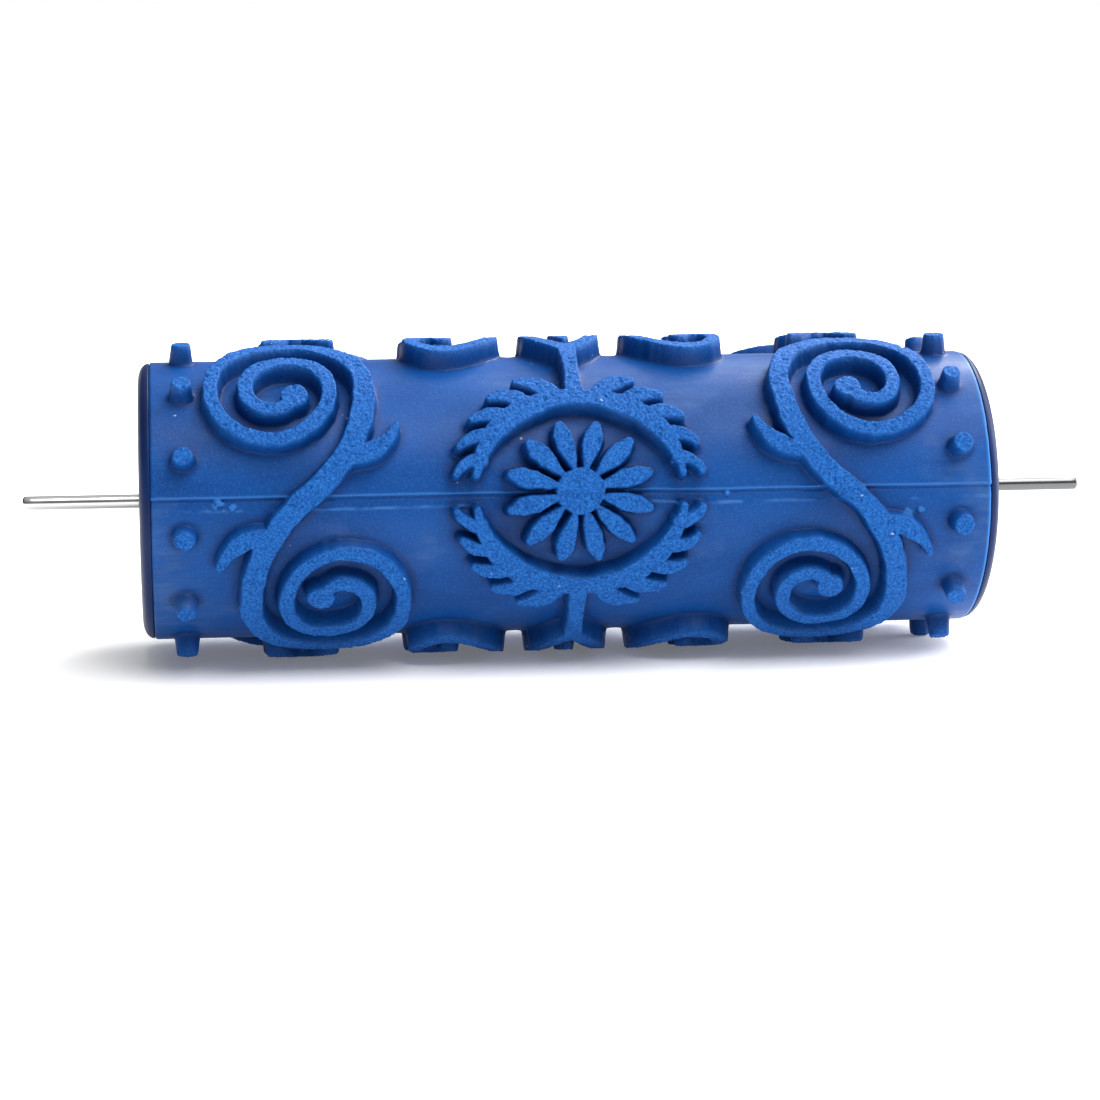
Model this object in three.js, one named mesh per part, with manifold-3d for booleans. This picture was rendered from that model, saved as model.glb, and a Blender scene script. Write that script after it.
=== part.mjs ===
// A textured pattern roller: a moulded rubber sleeve with a raised damask relief, on a
// rigid core tube with a plug in each end, turning on a straight steel rod.
//
// Millimetres, +Z up. The rod lies along X, and the origin is on its axis at mid-length.
// Round parts are lathed about the rod. The relief is drawn flat, as strokes in a plane
// with u along the rod and v around the roller at the top of the relief, then bent round
// the sleeve and joined to it.

import * as THREE from 'three';
import { mergeVertices } from 'three/addons/utils/BufferGeometryUtils.js';
import Module from 'manifold-3d';

// ---- Driving dimensions ----

const rollerLength = 178;        // outer face of one end cap to the other
const sleeveRadius = 29.1;       // bare rubber
const reliefHeight = 4.7;        // how far the relief stands above the bare rubber
const rubberWall = 5;
const coreWall = 2;
const rodRadius = 1.5;
const rodLength = 227;
const fitGap = 0.3;              // between pieces that touch

// ---- Sizes that follow from them ----

const reliefRadius = sleeveRadius + reliefHeight;
const reliefRoot = sleeveRadius - 1.2;       // the strokes start inside the rubber
const boreRadius = sleeveRadius - rubberWall;
const coreRadius = boreRadius - fitGap;
const coreBore = coreRadius - coreWall;

const flangeThickness = 2.3;
const flangeRim = 3.5;                       // radial run of the flange's rounded edge
const flangeRadius = sleeveRadius - 0.2;
const plugRadius = coreBore - fitGap;
const plugWall = 2;
const plugDepth = 12;
const hubRadius = 5;
const hubLength = 18;
const hubBore = rodRadius + fitGap;
const bossRadius = 6.5;                      // raised ring round the rod, on the face
const recessRadius = 22;
const recessDepth = 0.9;

const capFace = rollerLength / 2;
const sleeveEnd = capFace - flangeThickness - fitGap;
const coreEnd = sleeveEnd - 0.4;             // just inside the rubber's end

const rodChamfer = 0.35;
const washerRadius = 4;
const washerThickness = 0.8;

// ---- The relief's own sizes ----

const repeats = 2;                           // times the pattern goes round the roller
const patternCentre = 10;                    // degrees up from the front
const lineWidth = 3.3;
const eyeRadius = 2.9;                       // the round end of a scroll
const studRadius = 2.2;
const studFoot = 2.8;
const studRow = 80;                          // from mid-length
const studsInRepeat = 6;
const scrollMiddle = [55, 0];
const seam = Math.PI * reliefRadius / repeats;   // from a repeat's middle to its edge

// ---- How finely round things are cut into facets ----

const sleeveFacets = 40;
const bodyFacets = 36;                       // core and caps
const rodFacets = 20;                        // rod and washers
const arcStep = 36;                          // degrees of an arc for one facet
const longestStep = 11;                      // mm along a gentle arc
const thinEnd = 2.2;                         // narrower ends are left square
const discSides = 8;
const studSides = 7;

const rubberBlue = 0x1d63b8;
const capNavy = 0x27365c;
const corePlastic = 0x8f9296;
const steel = 0xc9ccd0;

const wasm = await Module();
wasm.setup();

const radians = THREE.MathUtils.degToRad;

// ---- Solids in and out of the boolean library ----

function toSolid(geometry) {
  const bare = geometry.index ? geometry.toNonIndexed() : geometry.clone();
  bare.deleteAttribute('normal');
  bare.deleteAttribute('uv');
  const merged = mergeVertices(bare, 1e-4);
  return new wasm.Manifold(new wasm.Mesh({
    numProp: 3,
    vertProperties: new Float32Array(merged.attributes.position.array),
    triVerts: new Uint32Array(merged.index.array),
  }));
}

function toGeometry(solid) {
  const mesh = solid.getMesh();
  const geometry = new THREE.BufferGeometry();
  geometry.setAttribute('position', new THREE.BufferAttribute(mesh.vertProperties, 3));
  geometry.setIndex(new THREE.BufferAttribute(mesh.triVerts, 1));
  geometry.computeVertexNormals();
  return geometry;
}

// A closed [x, radius] profile turned about the rod's axis. It is listed outward along
// the bore first, with rising x, and then back over the outside.
function turned(profile, segments) {
  const points = profile.map(([x, radius]) => new THREE.Vector2(radius, x)).reverse();
  points.push(points[0].clone());
  const geometry = new THREE.LatheGeometry(points, segments);
  geometry.rotateZ(-Math.PI / 2);
  return geometry;
}

// ---- Drawing the relief flat ----

// A centre line of arcs, each running on smoothly from the one before. An arc is
// [radius, degrees], and positive degrees turn left.
function arcLine([u, v], heading, arcs) {
  const line = [[u, v]];
  let direction = radians(heading);
  for (const [radius, degrees] of arcs) {
    const side = Math.sign(degrees);
    const sweep = radians(Math.abs(degrees));
    const steps = Math.ceil(Math.max(
      Math.abs(degrees) / arcStep, radius * sweep / longestStep));
    const centreU = u - radius * side * Math.sin(direction);
    const centreV = v + radius * side * Math.cos(direction);
    for (let step = 1; step <= steps; step += 1) {
      const turn = direction + side * sweep * step / steps;
      line.push([
        centreU + radius * side * Math.sin(turn),
        centreV - radius * side * Math.cos(turn),
      ]);
    }
    [u, v] = line[line.length - 1];
    direction += side * sweep;
  }
  return line;
}

// The width part of the way along a line, from widths spread evenly over its length.
function widthAt(widths, fraction) {
  const place = fraction * (widths.length - 1);
  const before = Math.min(Math.floor(place), widths.length - 2);
  return THREE.MathUtils.lerp(widths[before], widths[before + 1], place - before);
}

// The outline of a stroke of changing width along a centre line, with pointed ends.
function strokeOutline(line, widths) {
  const left = [];
  const right = [];
  const last = line.length - 1;
  const ahead = (index) => {
    const [u0, v0] = line[Math.max(index - 1, 0)];
    const [u1, v1] = line[Math.min(index + 1, last)];
    return Math.atan2(v1 - v0, u1 - u0);
  };
  const around = ([u, v], angle, reach) =>
    [u + reach * Math.cos(angle), v + reach * Math.sin(angle)];
  line.forEach((point, index) => {
    const reach = widthAt(widths, index / last) / 2;
    left.push(around(point, ahead(index) + Math.PI / 2, reach));
    right.push(around(point, ahead(index) - Math.PI / 2, reach));
  });
  const cap = (index, outward) => {
    const width = widthAt(widths, index / last);
    return width < thinEnd ? [] : [around(line[index], outward, width / 2)];
  };
  return [...left, ...cap(last, ahead(last)), ...right.reverse(), ...cap(0, ahead(0) + Math.PI)];
}

function discOutline([u, v], radius) {
  return Array.from({ length: discSides }, (_, side) => {
    const angle = 2 * Math.PI * (side + 0.5) / discSides;
    return [u + radius * Math.cos(angle), v + radius * Math.sin(angle)];
  });
}

// Motifs are lists of outlines. The relief is a damask with a wreathed flower in the middle
// of each repeat and a bud on the seam between repeats, with an S-scroll at each side.

// A shape that is turned half round a point, to be the other half of an S.
const halfTurned = (outlines, [u, v]) =>
  outlines.map((outline) => outline.map(([pu, pv]) => [2 * u - pu, 2 * v - pv]));
const mirrored = (outlines) => outlines.map((outline) => outline.map(([u, v]) => [-u, v]));
const upsideDown = (outlines) => outlines.map((outline) => outline.map(([u, v]) => [u, -v]));

// Half of the right-hand S-scroll, from its middle: a volute, and a leaf on its back.
function halfScroll() {
  const [u, v] = scrollMiddle;
  const stem = arcLine(scrollMiddle, 142, [
    [31, -54], [15.6, -190], [12, -180], [8.4, -180], [5, -150],
  ]);
  const back = arcLine([u - 7, v + 8], -176, [[11, -74]]);
  return [
    strokeOutline(stem, [5.2, lineWidth, lineWidth, lineWidth, lineWidth]),
    discOutline(stem[stem.length - 1], eyeRadius),
    strokeOutline(back, [3.4, 4.4, 1.6]),
  ];
}

// Petals all round a boss, each of them widest at two thirds of its length.
function flower(centre, petals, firstAngle, reach, petalWidth, bossRadius) {
  const outlines = [discOutline(centre, bossRadius)];
  for (let petal = 0; petal < petals; petal += 1) {
    const aim = radians(firstAngle + 360 * petal / petals);
    const along = (share) => [
      centre[0] + share * reach * Math.cos(aim),
      centre[1] + share * reach * Math.sin(aim),
    ];
    outlines.push(strokeOutline([0.3, 0.7, 1].map(along), [1.4, petalWidth, 1.8]));
  }
  return outlines;
}

// A quarter of the wreath: a bowed rib with lobes on its outer side, smaller to its tip.
function leaf() {
  const foot = [0.5, 21];
  const bow = 21;
  const sweep = 80;
  const lobes = 5;
  const outlines = [strokeOutline(arcLine(foot, 0, [[bow, -sweep]]), [4, 5.2, 4.4, 1.8])];
  for (let lobe = 0; lobe < lobes; lobe += 1) {
    const turn = sweep * (lobe + 0.6) / (lobes + 0.2);
    const base = arcLine(foot, 0, [[bow, -turn]]).pop();
    const shrink = 1.02 - 0.1 * lobe;
    outlines.push(strokeOutline(
      arcLine(base, 70 - turn, [[9 * shrink, -62]]), [3.4, 4.4 * shrink, 1.8]));
  }
  return outlines;
}

// A quarter of the bud on the seam, its seed, and half of the stalk that joins the wreath.
function bud() {
  const foot = 38;
  const halfWidth = 7;
  const halfHeight = seam - foot;
  const radius = (halfHeight ** 2 + halfWidth ** 2) / (2 * halfWidth);
  const half = THREE.MathUtils.radToDeg(Math.asin(halfHeight / radius));
  const side = arcLine([0, foot], 90 - half, [[radius, half]]);
  return [
    strokeOutline(side, [3.8, lineWidth, lineWidth]),
    strokeOutline([[0, 45.5], [0, seam - 2], [0, seam]], [1.6, 4.2, 4.6]),
    strokeOutline([[0, 21], [0, foot]], [4.2, 3.8]),
  ];
}

// Half of a C-scroll beside the bud, from the seam.
function hook() {
  const line = arcLine([14.5, seam], -90, [[15, 66], [6.4, 140], [3.6, 130]]);
  return [
    strokeOutline(line, [lineWidth, lineWidth, lineWidth, 2.6]),
    discOutline(line[line.length - 1], studRadius),
  ];
}

function reliefOutlines() {
  const quarter = [...leaf(), ...bud(), ...hook()];
  const side = [
    ...quarter, ...upsideDown(quarter),
    ...halfScroll(), ...halfTurned(halfScroll(), scrollMiddle),
    ...flower([56, seam], 4, 45, 9.5, 4, 2.8),
  ];
  return [...side, ...mirrored(side), ...flower([0, 0], 12, 15, 14.5, 4.1, 5)];
}

// A row of round studs near each end, evenly spaced round the roller.
function studPlaces() {
  return Array.from({ length: studsInRepeat }, (_, place) =>
    2 * seam * (place + 0.5) / studsInRepeat - seam)
    .flatMap((v) => [[-studRow, v], [studRow, v]]);
}

// ---- From flat outlines to solids round the sleeve ----

const strokeDepth = reliefRadius - reliefRoot;

function flatStroke(outline) {
  const shape = new THREE.Shape(outline.map(([u, v]) => new THREE.Vector2(u, v)));
  return toSolid(new THREE.ExtrudeGeometry(shape, {
    depth: strokeDepth,
    bevelEnabled: false,
  }));
}

function flatStud([u, v]) {
  const geometry = new THREE.CylinderGeometry(studRadius, studFoot, strokeDepth, studSides);
  geometry.rotateX(Math.PI / 2);
  geometry.translate(u, v, strokeDepth / 2);
  return toSolid(geometry);
}

// One repeat of the relief, flat: u and v in the plane, and height from the root along z.
function flatRelief() {
  return [...reliefOutlines().map(flatStroke), ...studPlaces().map(flatStud)]
    .reduce((joined, solid) => joined.add(solid));
}

// A flat solid bent round the rod's axis, as the pattern's repeat number turn.
function bentRound(solid, turn) {
  const geometry = toGeometry(solid);
  const position = geometry.attributes.position;
  const start = radians(patternCentre + 360 * turn / repeats);
  for (let index = 0; index < position.count; index += 1) {
    const angle = start + position.getY(index) / reliefRadius;
    const radius = reliefRoot + position.getZ(index);
    position.setXYZ(index, position.getX(index),
      -radius * Math.cos(angle), radius * Math.sin(angle));
  }
  return toSolid(geometry);
}

// ---- Geometry of each piece ----

function patternSleeve() {
  const tube = toSolid(turned([
    [-sleeveEnd, boreRadius], [sleeveEnd, boreRadius],
    [sleeveEnd, sleeveRadius], [-sleeveEnd, sleeveRadius],
  ], sleeveFacets));
  const relief = flatRelief();
  const rounds = Array.from({ length: repeats }, (_, turn) => bentRound(relief, turn));
  return toGeometry(rounds.reduce((joined, round) => joined.add(round), tube));
}

function coreTube() {
  return turned([
    [-coreEnd, coreBore], [coreEnd, coreBore],
    [coreEnd, coreRadius], [-coreEnd, coreRadius],
  ], bodyFacets);
}

// The right-hand cap: a flange with a rounded edge and a shallow recess round its boss, a
// plug ring and a bored hub.
function endCap() {
  const inner = capFace - flangeThickness;
  const rim = [90, 60, 30, 0].map((angle) => [
    inner + flangeThickness * Math.sin(radians(angle)),
    flangeRadius - flangeRim + flangeRim * Math.cos(radians(angle)),
  ]);
  return turned([
    [inner - hubLength, hubBore],
    [capFace, hubBore],
    [capFace, bossRadius],
    [capFace - recessDepth, bossRadius],
    [capFace - recessDepth, recessRadius],
    [capFace, recessRadius],
    ...rim,
    [inner, plugRadius],
    [inner - plugDepth, plugRadius],
    [inner - plugDepth, plugRadius - plugWall],
    [inner, plugRadius - plugWall],
    [inner, hubRadius],
    [inner - hubLength, hubRadius],
  ], bodyFacets);
}

function axleRod() {
  const tip = rodLength / 2;
  return turned([
    [-tip, 0],
    [tip, 0],
    [tip, rodRadius - rodChamfer],
    [tip - rodChamfer, rodRadius],
    [-tip + rodChamfer, rodRadius],
    [-tip, rodRadius - rodChamfer],
  ], rodFacets);
}

// The right-hand washer, pushed on the rod against the hub's inner end.
function retainingWasher() {
  const face = capFace - flangeThickness - hubLength - fitGap;
  return turned([
    [face - washerThickness, hubBore], [face, hubBore],
    [face, washerRadius], [face - washerThickness, washerRadius],
  ], rodFacets);
}

// ---- Assembly ----

function piece(name, geometry, color, roughness, metalness) {
  const material = new THREE.MeshStandardMaterial({ color, roughness, metalness });
  const mesh = new THREE.Mesh(geometry, material);
  mesh.name = name;
  return mesh;
}

const drum = new THREE.Group();
drum.add(piece('pattern_sleeve', patternSleeve(), rubberBlue, 0.4, 0));
drum.add(piece('core_tube', coreTube(), corePlastic, 0.6, 0));

const axle = new THREE.Group();
axle.add(piece('axle_rod', axleRod(), steel, 0.25, 1));

for (const [side, turn] of [['right', 0], ['left', Math.PI]]) {
  const cap = piece(`${side}_end_cap`, endCap(), capNavy, 0.4, 0);
  const washer = piece(`${side}_retaining_washer`, retainingWasher(), steel, 0.35, 1);
  cap.rotation.z = turn;
  washer.rotation.z = turn;
  drum.add(cap);
  axle.add(washer);
}

const roller = new THREE.Group();
roller.add(axle, drum);

export default roller;
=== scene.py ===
"""Textured pattern roller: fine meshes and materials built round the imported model.

Everything is in metres in the model's own frame: the rod lies along X and the origin is
on its axis. The relief's motifs are drawn flat in millimetres, with u along the rod and v
around the roller at the top of the relief, and raised on the sleeve as a height field.
"""

import math

import bmesh
import bpy
import numpy as np
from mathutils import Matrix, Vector


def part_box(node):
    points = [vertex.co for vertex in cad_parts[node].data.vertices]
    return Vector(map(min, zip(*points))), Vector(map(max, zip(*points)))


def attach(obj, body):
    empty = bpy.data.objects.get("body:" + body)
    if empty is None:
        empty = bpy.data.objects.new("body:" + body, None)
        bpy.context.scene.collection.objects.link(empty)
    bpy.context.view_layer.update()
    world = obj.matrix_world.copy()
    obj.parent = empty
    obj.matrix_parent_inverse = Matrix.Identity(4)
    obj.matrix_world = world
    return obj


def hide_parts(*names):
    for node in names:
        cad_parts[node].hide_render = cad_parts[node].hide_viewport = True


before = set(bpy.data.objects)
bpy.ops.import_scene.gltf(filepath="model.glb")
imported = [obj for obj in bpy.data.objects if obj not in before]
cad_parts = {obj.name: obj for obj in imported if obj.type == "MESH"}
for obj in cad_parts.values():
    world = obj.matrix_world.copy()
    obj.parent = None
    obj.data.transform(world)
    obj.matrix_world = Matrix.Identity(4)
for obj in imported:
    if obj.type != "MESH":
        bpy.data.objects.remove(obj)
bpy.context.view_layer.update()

MM = 0.001

# ---- Camera ----

VIEW_AZIMUTH = -7.0         # degrees from the front, less than 0 towards the left end
VIEW_ELEVATION = 10.5
VIEW_DISTANCE = 0.636
AIM = Vector((-0.0023, 0.0, -0.0124))
LENS_MM = 97


def make_camera():
    """The photograph's viewing angle, with the roller a little above the middle."""
    azimuth, elevation = math.radians(VIEW_AZIMUTH), math.radians(VIEW_ELEVATION)
    back = Vector((
        math.sin(azimuth) * math.cos(elevation),
        -math.cos(azimuth) * math.cos(elevation),
        math.sin(elevation),
    ))
    camera = bpy.data.objects.new("camera", bpy.data.cameras.new("camera"))
    bpy.context.scene.collection.objects.link(camera)
    camera.location = AIM + back * VIEW_DISTANCE
    camera.rotation_mode = "QUATERNION"
    camera.rotation_quaternion = (-back).to_track_quat("-Z", "Y")
    camera.data.lens = LENS_MM
    bpy.context.scene.camera = camera


make_camera()

# ---- Sizes read from the frame ----

sleeve_low, sleeve_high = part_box("pattern_sleeve")
core_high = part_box("core_tube")[1]
cap_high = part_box("right_end_cap")[1]
rod_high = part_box("axle_rod")[1]

# In mm from here on
END_REACH = 0.28            # the rubber runs this much past its CAD solid, to the cap's flange
GAP = 0.3                   # between the core and what fits it, and round the rod
RELIEF_HEIGHT = 4.7

SLEEVE_END = sleeve_high.x / MM + END_REACH
RELIEF_RADIUS = sleeve_high.z / MM
SLEEVE_RADIUS = RELIEF_RADIUS - RELIEF_HEIGHT
CORE_RADIUS = core_high.z / MM
SLEEVE_BORE = CORE_RADIUS + GAP
CAP_FACE = cap_high.x / MM
CAP_RADIUS = cap_high.z / MM
ROD_TIP = rod_high.x / MM
ROD_RADIUS = rod_high.z / MM

# ---- Noise ----


class Noise:
    """Smooth value noise over points in space, the same on every run."""

    SIDE = 32

    def __init__(self, seed):
        self.lattice = np.random.default_rng(seed).random((self.SIDE,) * 3, np.float32) * 2 - 1

    def __call__(self, points, size):
        """Values between -1 and 1 that change over about size mm."""
        scaled = points / size
        cell = np.floor(scaled).astype(np.int32)
        part = scaled - cell
        part = part * part * (3 - 2 * part)
        total = 0
        for corner in np.ndindex(2, 2, 2):
            weight = 1
            for axis in range(3):
                share = part[..., axis]
                weight = weight * (share if corner[axis] else 1 - share)
            x, y, z = (np.mod(cell[..., axis] + corner[axis], self.SIDE) for axis in range(3))
            total = total + weight * self.lattice[x, y, z]
        return total

    def layered(self, points, size, layers):
        """Several sizes of noise added, each half the size and 0.6 the strength."""
        return sum(0.6 ** layer * self(points + 7 * layer, size / 2 ** layer)
                   for layer in range(layers))


# ---- The relief, drawn flat ----

REPEATS = 2                 # times the pattern goes round the roller
PATTERN_CENTRE = 10.0       # degrees up from the front
LINE = 3.3                  # width of a line
EYE = 2.9                   # radius of a scroll's round end
STUD = 2.2                  # radius of a stud
STUD_ROW = 80.0             # from mid-length
STUDS_IN_REPEAT = 6
SCROLL_MIDDLE = np.array((55.0, 0.0))
ARC_STEP = 6.0              # degrees of an arc between the points of its centre line

REPEAT_LENGTH = 2 * math.pi * RELIEF_RADIUS / REPEATS
SEAM = REPEAT_LENGTH / 2    # from a repeat's middle to its edge


def arc_line(start, heading, arcs):
    """A centre line of (radius, degrees) arcs, each running on from the one before."""
    u, v = start
    direction = math.radians(heading)
    line = [(u, v)]
    for radius, degrees in arcs:
        side = math.copysign(1, degrees)
        sweep = math.radians(abs(degrees))
        steps = max(2, math.ceil(abs(degrees) / ARC_STEP))
        centre_u = u - radius * side * math.sin(direction)
        centre_v = v + radius * side * math.cos(direction)
        for step in range(1, steps + 1):
            turn = direction + side * sweep * step / steps
            line.append((centre_u + radius * side * math.sin(turn),
                         centre_v - radius * side * math.cos(turn)))
        u, v = line[-1]
        direction += side * sweep
    return line


def stroke(line, widths):
    """A line with its reach at each of its points, from widths spread over its length."""
    share = np.linspace(0, len(widths) - 1, len(line))
    return np.array(line, float), np.interp(share, range(len(widths)), widths) / 2


def dot(place, radius):
    """A round spot, as a stroke without length."""
    return np.array([place, place], float), np.array([radius, radius])


def upright(low, high, count=8):
    """A straight centre line at mid-length, from low to high along v."""
    return [(0, v) for v in np.linspace(low, high, count)]


def half_scroll():
    """Half of the right-hand S-scroll, from its middle: a volute, and a leaf on its back."""
    stem = arc_line(SCROLL_MIDDLE, 142, [
        (31, -54), (15.6, -190), (12, -180), (8.4, -180), (5, -150),
    ])
    leaf_foot = SCROLL_MIDDLE + (-7, 8)
    back = arc_line(leaf_foot, -176, [(11, -74)])
    return [stroke(stem, [5.2, LINE, LINE, LINE, LINE]), dot(stem[-1], EYE),
            stroke(back, [3.4, 4.4, 1.6])]


def flower(centre, petals, first_angle, near, far, width, boss):
    """Petals all round a boss, each of them widest just past its middle."""
    strokes = [dot(centre, boss)]
    for petal in range(petals):
        aim = math.radians(first_angle + 360 * petal / petals)
        way = np.array((math.cos(aim), math.sin(aim)))
        line = [np.array(centre) + way * distance for distance in np.linspace(near, far, 9)]
        strokes.append(stroke(line, [1.4, 0.7 * width, width, width, 0.55 * width]))
    return strokes


def leaf():
    """A quarter of the wreath: a bowed rib with lobes on its outer side, smaller to its tip."""
    foot, bow, sweep, lobes = (0.5, 21), 21, 80, 5
    strokes = [stroke(arc_line(foot, 0, [(bow, -sweep)]), [4, 5.2, 4.4, 1.8])]
    for lobe in range(lobes):
        turn = sweep * (lobe + 0.6) / (lobes + 0.2)
        base = arc_line(foot, 0, [(bow, -turn)])[-1]
        shrink = 1.02 - 0.1 * lobe
        strokes.append(stroke(arc_line(base, 70 - turn, [(9 * shrink, -62)]),
                              [3.4, 4.4 * shrink, 1.8]))
    return strokes


def bud():
    """A quarter of the bud on the seam, its seed, and the stalk that joins the wreath."""
    foot, half_width = 38.0, 7.0
    half_height = SEAM - foot
    radius = (half_height ** 2 + half_width ** 2) / (2 * half_width)
    half = math.degrees(math.asin(half_height / radius))
    side = arc_line((0, foot), 90 - half, [(radius, half)])
    return [stroke(side, [3.8, LINE, LINE]), stroke(upright(45.5, SEAM), [1.6, 4.6]),
            stroke(upright(21, foot), [4.2, 3.2, 4.2])]


def hook():
    """Half of a C-scroll beside the bud, from the seam."""
    line = arc_line((14.5, SEAM), -90, [(15, 66), (6.4, 140), (3.6, 130)])
    return [stroke(line, [LINE, LINE, LINE, 2.6]), dot(line[-1], STUD)]


def end_studs():
    """A row of round studs near the right-hand end, evenly spaced round the roller."""
    return [dot((STUD_ROW, REPEAT_LENGTH * (place + 0.5) / STUDS_IN_REPEAT - SEAM), STUD)
            for place in range(STUDS_IN_REPEAT)]


def mirrored(strokes, signs, centre=(0, 0)):
    """The strokes turned over about centre along each axis whose sign is -1."""
    return [((line - centre) * signs + centre, reach) for line, reach in strokes]


def all_strokes():
    """Every stroke of one repeat."""
    quarter = leaf() + bud() + hook()
    side = (quarter + mirrored(quarter, (1, -1))
            + half_scroll() + mirrored(half_scroll(), (-1, -1), SCROLL_MIDDLE)
            + flower((56, SEAM), 4, 45, 2.5, 9.5, 4.0, 2.8) + end_studs())
    return side + mirrored(side, (-1, 1)) + flower((0, 0), 12, 15, 5, 14.5, 4.1, 5)


# ---- The sleeve's height field ----

CELL = 0.22      # mm between the sleeve's points
NEAR = 3.0                              # mm from a stroke where its distance is worked out


def distance_field():
    """The sleeve's places along u, and over them and all round the distance in mm to the
    nearest stroke's edge, less than 0 inside the stroke."""
    columns = round(2 * SLEEVE_END / CELL)
    rows = round(REPEAT_LENGTH / CELL)
    u = np.linspace(-SLEEVE_END, SLEEVE_END, columns + 1)
    v = (np.arange(rows) + 0.5) * REPEAT_LENGTH / rows - REPEAT_LENGTH / 2
    field = np.full((columns + 1, rows), NEAR)
    step_v = REPEAT_LENGTH / rows
    for line, reach in all_strokes():
        for (start, r0), (end, r1) in zip(zip(line, reach), zip(line[1:], reach[1:])):
            margin = max(r0, r1) + NEAR
            i0, i1 = np.searchsorted(u, (min(start[0], end[0]) - margin,
                                         max(start[0], end[0]) + margin))
            low = math.floor((min(start[1], end[1]) - margin - v[0]) / step_v)
            high = math.ceil((max(start[1], end[1]) + margin - v[0]) / step_v)
            row = np.arange(low, high + 1)
            du = u[i0:i1, None] - start[0]
            dv = v[0] + row[None, :] * step_v - start[1]
            along = end - start
            length_2 = max(along @ along, 1e-12)
            share = np.clip((du * along[0] + dv * along[1]) / length_2, 0, 1)
            gap = np.hypot(du - share * along[0], dv - share * along[1])
            gap -= r0 + share * (r1 - r0)
            place = np.ix_(np.arange(i0, i1), np.mod(row, rows))
            field[place] = np.minimum(field[place], gap)
    return u, np.tile(field, (1, REPEATS))


def smooth_step(low, high, x):
    t = np.clip((x - low) / (high - low), 0, 1)
    return t * t * (3 - 2 * t)


# Lengths are in mm. Each noise below has a seed of its own.
WALL_IN, WALL_OUT = 0.3, 0.42           # the wall's run inside and outside the edge
TOP_SINK = 0.27                         # lowers the grainy top, to leave room for its grains
FILLET = 0.09                           # share of the height at the relief's foot
FILLET_REACH = 0.6
PARTING_ANGLE = 9.4                     # degrees up from the front, and opposite it
FLASH_ANGLE = 4.6                       # the ragged second line below it
PARTING_STEP = 0.2                      # up above the parting line, and down below it
STEP_REACH = 3.0                        # how far from the line the step fades out
LIP_OFFSET, LIP = 0.3, 0.16             # the raised lip just above the line
GROOVE_OFFSET, GROOVE = 0.24, 0.3       # the groove just below it
LINE_WIDTH = 0.26                       # of the lip and of the groove
FLASH_WIDTH = 0.27
FLASH_HEIGHT = 0.5
BLOB_HEIGHT = 0.6
BLOBS = ((-73.0, -1.2, 2.6), (-70.4, -1.6, 1.7), (68.6, -5.6, 2.4), (71.5, -5.0, 1.5),
         (31.0, -0.6, 1.3))             # along, above the parting line, across
END_ROUND = 0.6                         # mm of rounding at the sleeve's ends
FOOT_OFFSET, FOOT_WIDTH = 0.5, 0.9      # painted shade on the skin just outside the relief's edge


def ridge(distance, width):
    return np.exp(-(distance / width) ** 2)


def relief_height(place, distance):
    """How far the relief stands up, how much of each point is relief, and how much is its
    grainy top, from the distance to the nearest stroke's edge."""
    cut = (Noise(1).layered(place, 3.8, 2) * 0.22 + Noise(2)(place, 1.6) * 0.12
           + Noise(12)(place, 0.7) * 0.025)
    d = distance + cut
    relief = 1 - smooth_step(-WALL_IN, WALL_OUT, d)
    top = smooth_step(0.05, -0.45, d)
    fillet = FILLET * np.exp(-np.clip(d, 0, NEAR) / FILLET_REACH) * (1 - relief)
    grain = Noise(3)(place, 0.66) * 0.07 + Noise(4)(place, 0.4) * 0.09
    pits = -0.3 * smooth_step(0.5, 0.8, Noise(13)(place, 0.7))
    crumbs = 0.1 * smooth_step(0.5, 0.8, Noise(14)(place, 0.6)) * ridge(d + 0.4, 0.5)
    sway = Noise(5)(place, 8) * 0.16
    wave = Noise(15)(place, 2.2) * 0.06 * ridge(d, 0.5)
    height = RELIEF_HEIGHT * (0.985 * relief + fillet) + wave
    return height + top * (grain + pits + crumbs + sway - TOP_SINK), relief, top


def parting_height(place, u, arc, skin):
    """The ledge and groove of the mould's parting line with its ragged flash and blobs, and
    how much of each point is painted lighter: the thin raised rubber, and the lip above the
    line as a painted highlight."""
    wander = Noise(6)(place, 14) * 0.2
    line = arc[None] + wander
    near = ridge(arc[None], STEP_REACH)
    ledge = PARTING_STEP * np.tanh(line / PARTING_STEP) * near
    lip = LIP * ridge(line - LIP_OFFSET, LINE_WIDTH)
    groove = -GROOVE * ridge(line + GROOVE_OFFSET, LINE_WIDTH)
    below = math.radians(PARTING_ANGLE - FLASH_ANGLE) * SLEEVE_RADIUS
    ragged = np.clip(Noise(7).layered(place, 5, 3) + 0.4, 0, 1)
    tear = 0.75 + 0.25 * Noise(16)(place, 0.8)
    torn = ragged * tear * ridge(line + below + wander, FLASH_WIDTH) * skin
    blobs = np.zeros_like(torn)
    knobbly = 0.8 + 0.8 * Noise(17)(place, 0.9)
    for along, above, across in BLOBS:
        gap = np.hypot((u[:, None] - along) / 1.2, arc[None] - above)
        blobs = blobs + smooth_step(0.25, 0.6, knobbly * ridge(gap, across / 2)) * skin
    height = (ledge + (lip + groove) * (0.45 + 0.55 * skin)
              + FLASH_HEIGHT * torn + BLOB_HEIGHT * blobs)
    # the lip's share is a painted highlight along its lit edge; the flash and blobs are pale
    # thin rubber
    thin_and_highlight = 0.7 * ridge(line - LIP_OFFSET, 0.2) * skin + torn + 0.6 * blobs
    return height, np.clip(thin_and_highlight, 0, 1)


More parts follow.
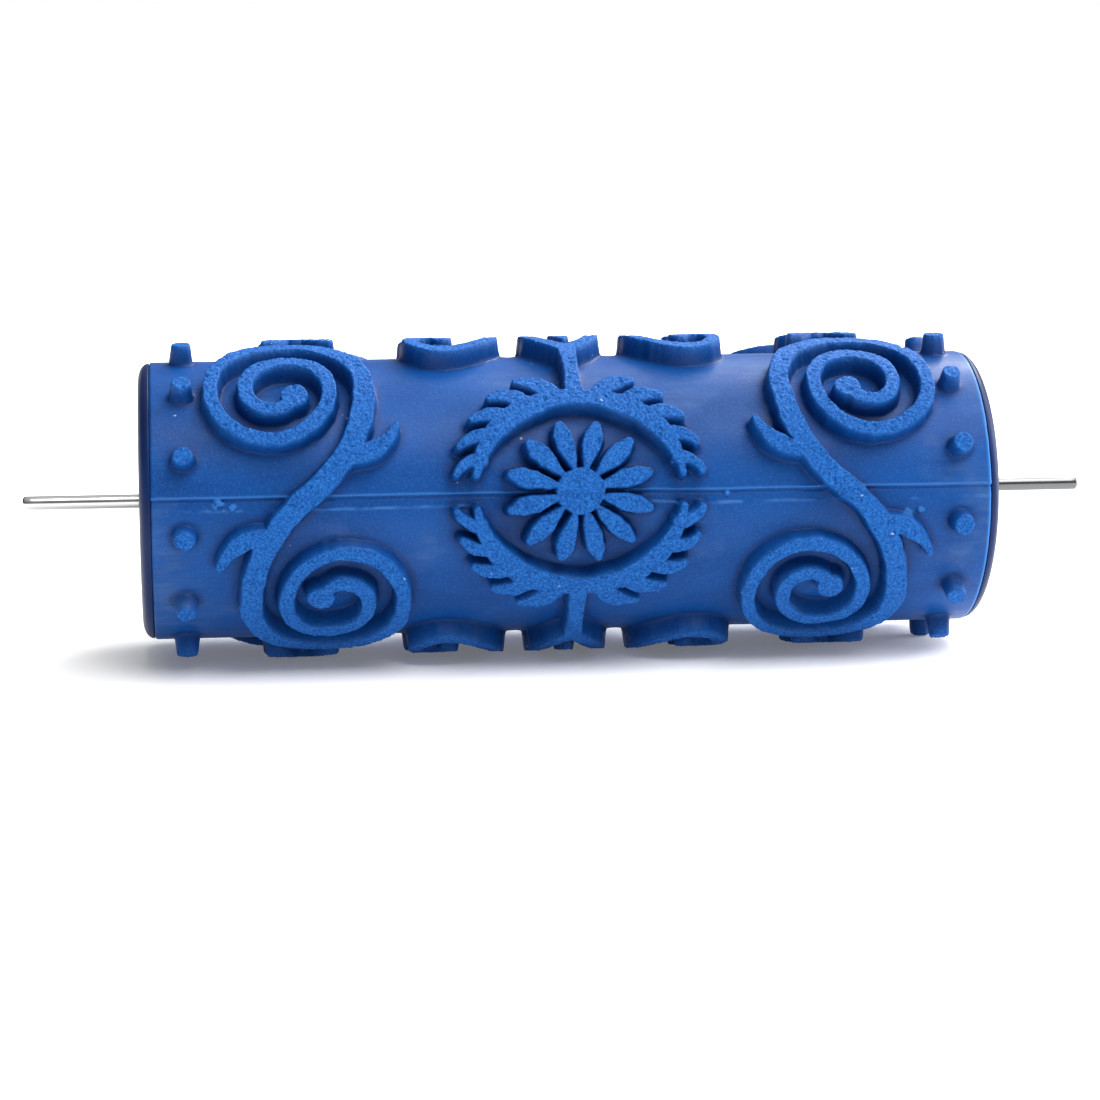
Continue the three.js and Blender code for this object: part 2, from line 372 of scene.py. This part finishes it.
def sleeve_shape():
    """The sleeve's points over its length and round it, their radius, and for each how much
    it is grainy top, painted shade at the relief's foot, and thin raised flash with painted
    highlights on its lips."""
    u, distance = distance_field()
    rows = distance.shape[1]
    start = math.radians(PATTERN_CENTRE) - REPEAT_LENGTH / 2 / RELIEF_RADIUS
    angle = start + (np.arange(rows) + 0.5) * 2 * math.pi / rows
    around = np.stack((np.zeros(rows), -np.cos(angle), np.sin(angle)), -1)
    along = np.zeros((len(u), 1, 3))
    along[:, 0, 0] = u
    place = around[None] * RELIEF_RADIUS + along

    height, relief, top = relief_height(place, distance)
    skin = 1 - relief
    offset = (np.degrees(angle) - PARTING_ANGLE + 90) % 180 - 90    # to the nearer line
    arc = np.radians(offset) * SLEEVE_RADIUS
    lumps = Noise(8)(place, 24) * 0.07 + Noise(9)(place, 6) * 0.02
    parting, flash_and_highlight = parting_height(place, u, arc, skin)
    height = height + skin * lumps + parting

    inset = np.clip(1 - (SLEEVE_END - np.abs(u)) / END_ROUND, 0, 1)
    ragged_lip = 0.09 * Noise(10).layered(place, 2.6, 2) * inset[:, None]
    height = height - (END_ROUND * (1 - np.sqrt(1 - inset ** 2)))[:, None] + ragged_lip
    # painted shade on the skin at the relief's foot
    foot = ridge(np.clip(distance, 0, NEAR) - FOOT_OFFSET, FOOT_WIDTH) * skin
    painted_lip_highlight = ridge(SLEEVE_END - u - 0.3, 0.35)[:, None]           # painted highlight along the lip at the right-hand end
    return u, around, SLEEVE_RADIUS + height, {
        "foam": top, "foot": foot, "flash_and_highlight": np.maximum(flash_and_highlight, painted_lip_highlight),
    }


def mesh_from_arrays(name, points, quads, attributes=()):
    """A smooth-shaded mesh object from points in mm and quads."""
    mesh = bpy.data.meshes.new(name)
    mesh.vertices.add(len(points))
    mesh.vertices.foreach_set("co", np.ascontiguousarray(points * MM, np.float32).ravel())
    mesh.loops.add(quads.size)
    mesh.loops.foreach_set("vertex_index", quads.astype(np.int32).ravel())
    mesh.polygons.add(len(quads))
    mesh.polygons.foreach_set("loop_start", np.arange(0, quads.size, 4, dtype=np.int32))
    mesh.update(calc_edges=True)
    mesh.polygons.foreach_set("use_smooth", np.ones(len(quads), bool))
    for label, values in attributes:
        layer = mesh.attributes.new(label, "FLOAT", "POINT")
        layer.data.foreach_set("value", values.astype(np.float32).ravel())
    mesh.validate()
    piece = bpy.data.objects.new(name, mesh)
    bpy.context.scene.collection.objects.link(piece)
    return piece


def ring_quads(rings, sides, closed):
    """Quads between rings of points, and from the last ring to the first if closed."""
    ring = np.arange(rings if closed else rings - 1)[:, None]
    side = np.arange(sides)[None]
    following = (ring + 1) % rings
    beside = (side + 1) % sides
    return np.stack((ring * sides + side, ring * sides + beside,
                     following * sides + beside, following * sides + side), -1).reshape(-1, 4)


def make_sleeve():
    """The rubber sleeve: its moulded outside and its plain bore, joined at the ends."""
    u, around, radius, marks = sleeve_shape()
    outside = around[None] * radius[..., None]
    outside[..., 0] = u[:, None]
    inside = np.repeat(around[None] * SLEEVE_BORE, 2, 0)
    inside[0, :, 0], inside[1, :, 0] = u[-1], u[0]
    points = np.concatenate((outside, inside)).reshape(-1, 3)
    flat = np.zeros((2, len(around)))
    attributes = [(name, np.concatenate((values, flat))) for name, values in marks.items()]
    quads = ring_quads(len(u) + 2, len(around), True)[:, ::-1]      # facing outward
    return mesh_from_arrays("rubber_sleeve", points, quads, attributes)


# ---- Turned pieces ----


def lathe(name, profile, sides):
    """A closed mesh from an [x, radius] profile in mm. Points on the axis are joined."""
    angle = np.arange(sides) * 2 * math.pi / sides
    rings = np.array([[(x, -radius * math.cos(a), radius * math.sin(a)) for a in angle]
                      for x, radius in profile])
    piece = mesh_from_arrays(name, rings.reshape(-1, 3),
                             ring_quads(len(profile), sides, profile[0][1] > 0))
    shape = bmesh.new()
    shape.from_mesh(piece.data)
    bmesh.ops.remove_doubles(shape, verts=shape.verts, dist=0.002 * MM)
    bmesh.ops.recalc_face_normals(shape, faces=shape.faces)
    shape.to_mesh(piece.data)
    shape.free()
    return piece


def quarter(centre, reach, first, last, steps=8):
    """Points of an elliptical arc about centre, from first to last degrees."""
    turn = np.radians(np.linspace(first, last, steps + 1))
    return [(centre[0] + reach[0] * math.cos(a), centre[1] + reach[1] * math.sin(a))
            for a in turn]


FLANGE = 2.3                # thickness of a cap's flange
FLANGE_RIM = 3.5            # how far in from its edge the flange is rounded
CORE_WALL = 2.0
PLUG_RADIUS = CORE_RADIUS - CORE_WALL - GAP
PLUG_WALL = 2.0
PLUG_DEPTH = 12.0
HUB_LENGTH = 18.0
HUB_RADIUS = 5.0
HUB_BORE = ROD_RADIUS + GAP
BOSS_RADIUS = 6.5
RECESS_RADIUS = 22.0
RECESS = 0.9
SOFT = 0.5                  # radius of the small rounded edges on a cap's face
CAP_SIDES = 128

ROD_CHAMFER = 0.35
ROD_STEPS = 60
ROD_SIDES = 64


def make_cap(side, sign):
    """An end plug: a flange with a rounded edge and a shallow moulded recess round the
    boss, a plug ring and a bored hub."""
    inner = CAP_FACE - FLANGE
    edge = CAP_FACE - SOFT
    floor = CAP_FACE - RECESS
    draft = 0.1
    profile = [
        (inner - HUB_LENGTH, HUB_BORE),
        (edge, HUB_BORE),
        *quarter((edge, HUB_BORE + SOFT), (SOFT, SOFT), -90, 0, 4),
        *quarter((edge, BOSS_RADIUS - SOFT), (SOFT, SOFT), 0, 90, 4),
        (floor, BOSS_RADIUS + draft),
        (floor, RECESS_RADIUS - draft),
        *quarter((edge, RECESS_RADIUS + SOFT), (SOFT, SOFT), -90, 0, 4),
        *quarter((inner, CAP_RADIUS - FLANGE_RIM), (FLANGE, FLANGE_RIM), 0, 90, 14)[1:],
        (inner, PLUG_RADIUS),
        (inner - PLUG_DEPTH, PLUG_RADIUS),
        (inner - PLUG_DEPTH, PLUG_RADIUS - PLUG_WALL),
        (inner, PLUG_RADIUS - PLUG_WALL),
        (inner, HUB_RADIUS),
        (inner - HUB_LENGTH, HUB_RADIUS),
    ]
    return lathe(f"{side}_plug", [(sign * x, radius) for x, radius in profile], CAP_SIDES)


def make_rod():
    """The drawn steel rod, with a chamfer and a slightly crowned cut at each tip."""
    end = [
        (ROD_TIP, 0.0),
        (ROD_TIP - 0.01, 0.5),
        (ROD_TIP - 0.03, ROD_RADIUS - ROD_CHAMFER - 0.06),
        (ROD_TIP - 0.08, ROD_RADIUS - ROD_CHAMFER),
        (ROD_TIP - ROD_CHAMFER, ROD_RADIUS - 0.05),
        (ROD_TIP - ROD_CHAMFER - 0.1, ROD_RADIUS),
    ]
    side = [(x, ROD_RADIUS) for x in np.linspace(ROD_TIP - 2, -ROD_TIP + 2, ROD_STEPS)]
    other_end = [(-x, radius) for x, radius in end[::-1]]
    return lathe("steel_rod", end + side + other_end, ROD_SIDES)


# ---- Materials ----


def new_material(name):
    material = bpy.data.materials.new(name)
    material.use_nodes = True
    tree = material.node_tree
    return material, tree, tree.nodes["Principled BSDF"]


def wire(tree, source, target):
    tree.links.new(source, target)


def texture_noise(tree, scale, detail=4.0, roughness=0.55, stretch=(1, 1, 1), turn=(0, 0, 0)):
    """Noise over the object's own coordinates in metres, turned, scaled and stretched."""
    where = tree.nodes.new("ShaderNodeTexCoord")
    mapping = tree.nodes.new("ShaderNodeMapping")
    mapping.inputs["Rotation"].default_value = turn
    mapping.inputs["Scale"].default_value = stretch
    noise = tree.nodes.new("ShaderNodeTexNoise")
    noise.inputs["Scale"].default_value = scale
    noise.inputs["Detail"].default_value = detail
    noise.inputs["Roughness"].default_value = roughness
    wire(tree, where.outputs["Object"], mapping.inputs["Vector"])
    wire(tree, mapping.outputs["Vector"], noise.inputs["Vector"])
    return noise.outputs["Fac"]


def ramp(tree, source, stops):
    """A colour ramp over source, from (position, colour) stops."""
    node = tree.nodes.new("ShaderNodeValToRGB")
    elements = node.color_ramp.elements
    for index, (position, colour) in enumerate(stops):
        element = elements[index] if index < 2 else elements.new(position)
        element.position = position
        element.color = (*colour, 1)
    wire(tree, source, node.inputs["Fac"])
    return node.outputs["Color"]


def spread(tree, source, old, new):
    """Source with its old (low, high) range mapped to the new one, and kept inside it."""
    node = tree.nodes.new("ShaderNodeMapRange")
    for label, value in zip(("From Min", "From Max", "To Min", "To Max"), old + new):
        node.inputs[label].default_value = value
    wire(tree, source, node.inputs["Value"])
    return node.outputs["Result"]


def mix_colour(tree, share, first, second):
    node = tree.nodes.new("ShaderNodeMix")
    node.data_type = "RGBA"
    for socket, value in ((node.inputs[0], share), (node.inputs[6], first),
                          (node.inputs[7], second)):
        if isinstance(value, bpy.types.NodeSocket):
            wire(tree, value, socket)
        else:
            socket.default_value = value if isinstance(value, float) else (*value, 1)
    return node.outputs[2]


def mix_value(tree, share, first, second):
    node = tree.nodes.new("ShaderNodeMix")
    for socket, value in ((node.inputs[0], share), (node.inputs[2], first),
                          (node.inputs[3], second)):
        if isinstance(value, bpy.types.NodeSocket):
            wire(tree, value, socket)
        else:
            socket.default_value = value
    return node.outputs[0]


def attribute(tree, name):
    node = tree.nodes.new("ShaderNodeAttribute")
    node.attribute_name = name
    return node.outputs["Fac"]


def bump(tree, height, distance, strength=1.0, after=None):
    node = tree.nodes.new("ShaderNodeBump")
    node.inputs["Distance"].default_value = distance
    node.inputs["Strength"].default_value = strength
    wire(tree, height, node.inputs["Height"])
    if after is not None:
        wire(tree, after, node.inputs["Normal"])
    return node.outputs["Normal"]


# Colours, as linear red, green and blue
SKIN_DEEP = (0.0015, 0.039, 0.178)
SKIN_LIGHT = (0.0035, 0.064, 0.268)
# pale patches of painted reflection on the skin
SKIN_PAINTED_REFLECTION = (0.055, 0.118, 0.275)
SKIN_SPECK = (0.008, 0.105, 0.37)
# painted shade at the relief's foot
FOOT_PAINTED_SHADE = (0.0012, 0.013, 0.08)
# pale thin flash, and painted highlights on the lips
FLASH_PALE_AND_HIGHLIGHT = (0.035, 0.2, 0.6)
FOAM_DEEP = (0.0018, 0.044, 0.205)
FOAM_MIDDLE = (0.0035, 0.077, 0.318)
FOAM_LIGHT = (0.015, 0.145, 0.47)
DUST = (0.5, 0.62, 0.78)
NAVY_DEEP = (0.002, 0.011, 0.058)
NAVY_LIGHT = (0.0045, 0.02, 0.092)
ROD_DARK = (0.45, 0.45, 0.45)
ROD_LIGHT = (0.82, 0.82, 0.8)
# painted dark reflection on the rod's right-hand end
ROD_PAINTED_REFLECTION = (0.13, 0.134, 0.134)
WASHER_DARK = (0.34, 0.35, 0.37)
WASHER_LIGHT = (0.6, 0.61, 0.63)
CORE_DARK = (0.2, 0.21, 0.22)
CORE_LIGHT = (0.3, 0.31, 0.33)
FLOOR_DARK = (0.93, 0.93, 0.93)
FLOOR_LIGHT = (0.95, 0.95, 0.95)

FULL = (0.0, 1.0)           # the range of an attribute or a share
MIDDLE = (0.3, 0.7)         # the range that holds most of a noise's values


def skin_colour(tree):
    """The bare skin: flow marks, fine pale specks, scratched patches of painted reflection,
    painted shade at the relief's feet, light thin flash, and painted highlights on the
    parting lip and the right-hand end's lip."""
    flow = texture_noise(tree, 34, detail=5, roughness=0.6, stretch=(1, 2.2, 2.2))
    colour = ramp(tree, flow, [(0.3, SKIN_DEEP), (0.72, SKIN_LIGHT)])
    fine = texture_noise(tree, 2300, detail=2, roughness=0.6)
    specks = spread(tree, fine, (0.5, 0.72), (0.0, 0.5))
    colour = mix_colour(tree, specks, colour, SKIN_SPECK)
    patches = texture_noise(tree, 40, detail=4, roughness=0.65, stretch=(1, 1.2, 1.2),
                            turn=(0.4, 0.3, 0.5))
    hatch = texture_noise(tree, 620, detail=2, roughness=0.5, stretch=(0.16, 1, 1),
                          turn=(0, 1.1, 0.8))
    # pale patches of painted reflection, crossed by scratch lines
    painted_reflection = mix_value(tree, spread(tree, patches, (0.52, 0.7), (0.0, 0.55)), 0.0,
                     spread(tree, hatch, (0.36, 0.64), (0.2, 1.0)))
    colour = mix_colour(tree, painted_reflection, colour, SKIN_PAINTED_REFLECTION)
    # painted shade at the relief's foot
    foot = spread(tree, attribute(tree, "foot"), FULL, (0.0, 0.6))
    colour = mix_colour(tree, foot, colour, FOOT_PAINTED_SHADE)
    # pale thin flash, with painted highlights on the parting lip and the right-hand end's lip
    flash_and_highlight = spread(tree, attribute(tree, "flash_and_highlight"), FULL, (0.0, 0.75))
    return mix_colour(tree, flash_and_highlight, colour, FLASH_PALE_AND_HIGHLIGHT)


def rubber_material():
    """Blue moulded rubber: a satin skin on the bare part, and a grainy, drier top with
    small dark pores on the relief."""
    material, tree, shader = new_material("blue_rubber")
    foam = attribute(tree, "foam")
    pores = texture_noise(tree, 2100, detail=3, roughness=0.75)
    grain = ramp(tree, pores, [(0.36, FOAM_DEEP), (0.47, FOAM_MIDDLE), (0.66, FOAM_LIGHT)])
    colour = mix_colour(tree, foam, skin_colour(tree), grain)
    dust = texture_noise(tree, 620, detail=1, roughness=0.5)
    flecks = spread(tree, dust, (0.79, 0.82), (0.0, 0.5))
    wire(tree, mix_colour(tree, flecks, colour, DUST), shader.inputs["Base Color"])

    rub = texture_noise(tree, 80, detail=6, roughness=0.7, stretch=(0.8, 1.8, 1.8),
                        turn=(0.3, 0.5, 0.4))
    skin_rough = spread(tree, rub, MIDDLE, (0.34, 0.52))
    foam_rough = spread(tree, pores, MIDDLE, (0.75, 0.5))
    wire(tree, mix_value(tree, foam, skin_rough, foam_rough), shader.inputs["Roughness"])
    shader.inputs["Specular IOR Level"].default_value = 0.15
    shader.inputs["IOR"].default_value = 1.5

    moulded = texture_noise(tree, 1500, detail=2, roughness=0.5)
    scratch = texture_noise(tree, 420, detail=3, roughness=0.6, stretch=(0.1, 1.6, 1.6),
                            turn=(0, 0.9, 0.7))
    surface = bump(tree, moulded, distance=0.05 * MM, strength=0.7)
    surface = bump(tree, scratch, distance=0.04 * MM, strength=0.35, after=surface)
    pitted = mix_value(tree, foam, 0.5, pores)
    surface = bump(tree, pitted, distance=0.2 * MM, strength=0.9, after=surface)
    wire(tree, surface, shader.inputs["Normal"])
    return material


def cap_material():
    """Dark navy moulded plastic with uneven tone and gloss."""
    material, tree, shader = new_material("navy_plastic")
    tone = texture_noise(tree, 60, detail=4, roughness=0.6)
    wire(tree, ramp(tree, tone, [(0.3, NAVY_DEEP), (0.75, NAVY_LIGHT)]),
         shader.inputs["Base Color"])
    rub = texture_noise(tree, 250, detail=5, roughness=0.7)
    wire(tree, spread(tree, rub, MIDDLE, (0.36, 0.46)), shader.inputs["Roughness"])
    moulded = texture_noise(tree, 1200, detail=2, roughness=0.5)
    wire(tree, bump(tree, moulded, distance=0.02 * MM, strength=0.6), shader.inputs["Normal"])
    shader.inputs["Specular IOR Level"].default_value = 0.15
    return material


def steel_material(name, dark, light, rough, dark_reflection_share=0.0):
    """Drawn steel with fine marks along its length. Towards the right-hand end a share of its
    colour, growing up to the share given, is a painted dark reflection."""
    material, tree, shader = new_material(name)
    drawn = texture_noise(tree, 900, detail=4, roughness=0.6, stretch=(0.03, 1, 1))
    colour = ramp(tree, drawn, [(0.3, dark), (0.7, light)])
    where = tree.nodes.new("ShaderNodeTexCoord")
    split = tree.nodes.new("ShaderNodeSeparateXYZ")
    wire(tree, where.outputs["Object"], split.inputs["Vector"])
    # painted dark reflection, growing towards the right-hand end
    painted_dark_reflection = spread(tree, split.outputs["X"], (-50 * MM, 85 * MM), (0.0, dark_reflection_share))
    wire(tree, mix_colour(tree, painted_dark_reflection, colour, ROD_PAINTED_REFLECTION), shader.inputs["Base Color"])
    wire(tree, spread(tree, drawn, MIDDLE, rough), shader.inputs["Roughness"])
    wire(tree, bump(tree, drawn, distance=0.01 * MM, strength=0.5), shader.inputs["Normal"])
    shader.inputs["Metallic"].default_value = 1.0
    return material


def core_material():
    """Grey extruded plastic."""
    material, tree, shader = new_material("core_plastic")
    streak = texture_noise(tree, 120, detail=4, roughness=0.6, stretch=(0.1, 1, 1))
    wire(tree, ramp(tree, streak, [(0.3, CORE_DARK), (0.7, CORE_LIGHT)]),
         shader.inputs["Base Color"])
    wire(tree, spread(tree, streak, FULL, (0.5, 0.7)), shader.inputs["Roughness"])
    return material


# ---- The object ----


def finish_piece(piece, body, node, material):
    """Gives a piece its material, hangs it on the body it rides on, and hides the CAD solid it
    stands for.
    """
    piece.data.materials.clear()
    piece.data.materials.append(material)
    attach(piece, body)
    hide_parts(node)


def make_roller():
    """Makes the fine pieces, and gives the CAD solids that stay their materials."""
    finish_piece(make_sleeve(), "drum", "pattern_sleeve", rubber_material())
    navy = cap_material()
    for side, sign in (("left", -1), ("right", 1)):
        finish_piece(make_cap(side, sign), "drum", f"{side}_end_cap", navy)
    # the rod's right-hand end gets a painted dark reflection
    rod = steel_material("drawn_steel", ROD_DARK, ROD_LIGHT, (0.12, 0.26), dark_reflection_share=1.0)
    finish_piece(make_rod(), "axle", "axle_rod", rod)
    washer = steel_material("washer_steel", WASHER_DARK, WASHER_LIGHT, (0.3, 0.5))
    for node, material in (("core_tube", core_material()),
                           ("left_retaining_washer", washer),
                           ("right_retaining_washer", washer)):
        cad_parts[node].data.materials.clear()
        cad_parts[node].data.materials.append(material)


make_roller()

# ---- Floor and light ----


FLOOR_HALF = 60.0           # metres
FLOOR_GLOW = 0.14           # the floor's own light, which keeps its far part white


def make_floor():
    """A very wide pale floor that the relief stands on."""
    height = sleeve_low.z
    corners = [(x * FLOOR_HALF, y * FLOOR_HALF, height)
               for x, y in ((-1, -1), (1, -1), (1, 1), (-1, 1))]
    mesh = bpy.data.meshes.new("floor")
    mesh.from_pydata(corners, [], [(0, 1, 2, 3)])
    floor = bpy.data.objects.new("floor", mesh)
    bpy.context.scene.collection.objects.link(floor)
    material, tree, shader = new_material("pale_floor")
    tone = texture_noise(tree, 3, detail=3)
    wire(tree, ramp(tree, tone, [(0.3, FLOOR_DARK), (0.7, FLOOR_LIGHT)]),
         shader.inputs["Base Color"])
    shader.inputs["Roughness"].default_value = 1.0
    shader.inputs["Specular IOR Level"].default_value = 0.0
    shader.inputs["Emission Color"].default_value = (1, 1, 1, 1)
    shader.inputs["Emission Strength"].default_value = FLOOR_GLOW
    mesh.materials.append(material)


def aim_lamp(lamp, place):
    """Puts a lamp at place, pointing at the roller's middle."""
    bpy.context.scene.collection.objects.link(lamp)
    lamp.location = place
    lamp.rotation_mode = "QUATERNION"
    lamp.rotation_quaternion = (-Vector(place)).to_track_quat("-Z", "Y")


def add_area_light(name, place, size, power):
    """A rectangular lamp of size metres and power watts."""
    data = bpy.data.lights.new(name, "AREA")
    data.shape = "RECTANGLE"
    data.size, data.size_y = size
    data.energy = power
    aim_lamp(bpy.data.objects.new(name, data), place)


def add_sky_light(name, place, strength, softness):
    """A sun that shines from place, as wide as softness degrees."""
    data = bpy.data.lights.new(name, "SUN")
    data.energy = strength
    data.angle = math.radians(softness)
    aim_lamp(bpy.data.objects.new(name, data), place)


def make_world():
    """Soft light all round, stronger from the right and overhead than from the left, and
    white just above the floor's far edge."""
    world = bpy.data.worlds.new("studio")
    bpy.context.scene.world = world
    world.use_nodes = True
    tree = world.node_tree
    where = tree.nodes.new("ShaderNodeTexCoord")
    split = tree.nodes.new("ShaderNodeSeparateXYZ")
    wire(tree, where.outputs["Generated"], split.inputs["Vector"])
    edge_top, clear_of_edge = 0.05, 0.1
    tone = ramp(tree, split.outputs["Z"], [
        (edge_top, (1, 1, 1)), (clear_of_edge, (0.18, 0.18, 0.185)),
        (0.5, (0.25, 0.25, 0.26)), (0.75, (0.55, 0.55, 0.55)),
    ])
    wire(tree, tone, tree.nodes["Background"].inputs["Color"])
    sideways = spread(tree, split.outputs["X"], (-0.9, 0.9), (0.25, 2.4))
    above_edge = spread(tree, split.outputs["Z"], (edge_top, clear_of_edge), FULL)
    wire(tree, mix_value(tree, above_edge, 1.0, sideways),
         tree.nodes["Background"].inputs["Strength"])


def make_light():
    add_sky_light("key_light", (0.3, -0.5, 1.0), strength=2.3, softness=40)
    add_area_light("top_light", (0.45, 0.2, 0.9), size=(1.0, 0.5), power=7.0)
    add_area_light("back_light", (0.5, 0.6, 0.7), size=(0.5, 0.4), power=9.0)
    add_area_light("right_light", (1.1, 0.2, 0.4), size=(0.6, 0.8), power=11.0)
    make_world()


make_floor()
make_light()
bpy.context.scene.view_settings.view_transform = "Standard"
